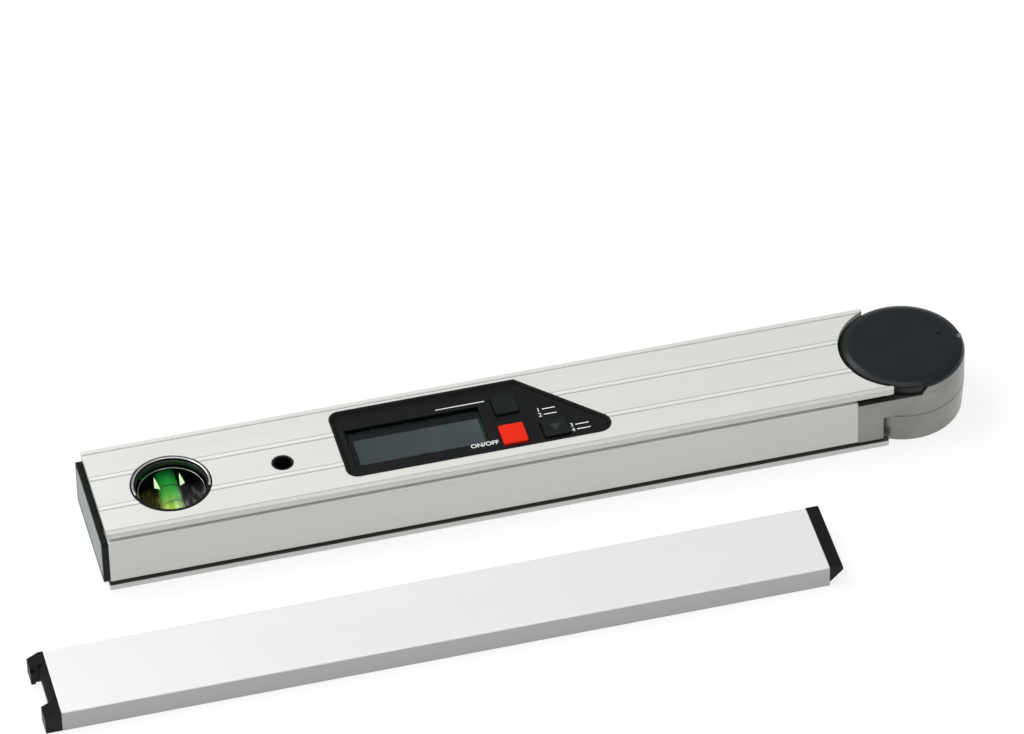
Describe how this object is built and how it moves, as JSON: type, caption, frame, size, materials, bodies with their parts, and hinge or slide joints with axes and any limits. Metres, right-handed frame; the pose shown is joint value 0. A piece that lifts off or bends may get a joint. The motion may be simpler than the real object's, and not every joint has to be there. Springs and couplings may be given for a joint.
{
  "type": "angle finder with arms",
  "caption": "Folding digital angle finder: a thick leg with display, keys and level windows, a thin arm that folds into its side on a friction hinge, and a loose leg extension.",
  "frame": {"origin": "on the hinge axis, in the underside of the tool, where the spindle head is flush", "axes": "the folded tool lies along -X from the hinge, its rear measuring edge faces +Y, its display faces +Z; the leg extension lies in front of it on the same surface"},
  "size_m": [0.4782, 0.148, 0.0362],
  "materials": {
    "aluminium": "satin, clear anodised",
    "die_cast": "fine-grained die-cast metal, blasted",
    "black_plastic": "fine moulded grain",
    "cover_plastic": "satin, fine texture",
    "black_button": "satin",
    "red_button": "satin",
    "grey_pad": "matte",
    "clear_window": "clear, slightly smoked",
    "lcd_panel": "dark display cell",
    "rubber": "matte",
    "circuit_board": "solder mask",
    "steel": "bright zinc",
    "bronze": "sintered",
    "nylon": "natural",
    "cell_jacket": "printed film",
    "clear_acrylic": "clear",
    "green_liquid": "clear green"
  },
  "bodies": {
    "folding_arm": {"arm_profile": "aluminium", "arm_end_plug": "black_plastic", "arm_knuckle": "die_cast", "arm_screws": "steel", "hinge_spindle": "steel", "disc_springs": "steel", "hinge_nut": "steel", "encoder_disc": "circuit_board", "hub_cover": "cover_plastic"},
    "base_leg": {"base_profile": "aluminium", "base_end_cap": "black_plastic", "end_pad": "grey_pad", "display_housing": "black_plastic", "lcd_window": "clear_window", "lcd_panel": "lcd_panel", "circuit_board": "circuit_board", "key_mat": "rubber", "board_screws": "steel", "battery_tray": "black_plastic", "battery_cells": "cell_jacket", "battery_contacts": "steel", "vial_housing": "black_plastic", "vial_block": "clear_acrylic", "vial_tube": "clear_acrylic", "vial_liquid": "green_liquid", "hanging_bush": "black_plastic", "edge_vial_housing": "black_plastic", "edge_vial_tube": "clear_acrylic", "edge_vial_liquid": "green_liquid", "base_knuckle": "die_cast", "knuckle_screws": "steel", "tray_screws": "steel", "hinge_bush": "bronze", "thrust_washer": "nylon", "sensor_board": "circuit_board"},
    "hold_key": {"hold_button": "black_button"},
    "power_key": {"power_button": "red_button"},
    "mode_key": {"mode_button": "black_button"},
    "battery_door": {"battery_cover": "black_plastic"},
    "leg_extension": {"extension_profile": "aluminium", "extension_hook_cap": "black_plastic", "extension_end_cap": "black_plastic"}
  },
  "joints": [
    {"name": "fold", "type": "hinge", "parent": "folding_arm", "child": "base_leg", "pos_m": [0, 0, 0], "axis": [0, 0, -1], "range_deg": [0, 220]},
    {"name": "hold_press", "type": "slide", "parent": "base_leg", "child": "hold_key", "axis": [0, 0, -1], "range_m": [0, 0.0008], "stiffness_N_per_m": 1500, "springref_m": -0.0002},
    {"name": "power_press", "type": "slide", "parent": "base_leg", "child": "power_key", "axis": [0, 0, -1], "range_m": [0, 0.0008], "stiffness_N_per_m": 1500, "springref_m": -0.0002},
    {"name": "mode_press", "type": "slide", "parent": "base_leg", "child": "mode_key", "axis": [0, 0, -1], "range_m": [0, 0.0008], "stiffness_N_per_m": 1500, "springref_m": -0.0002},
    {"name": "battery_door_lift", "type": "slide", "parent": "base_leg", "child": "battery_door", "axis": [0, 0, -1], "range_m": [0, 0.012]},
    {"name": "extension_lift", "type": "slide", "parent": "folding_arm", "child": "leg_extension", "axis": [0, 0, 1], "range_m": [0, 0.15]}
  ]
}
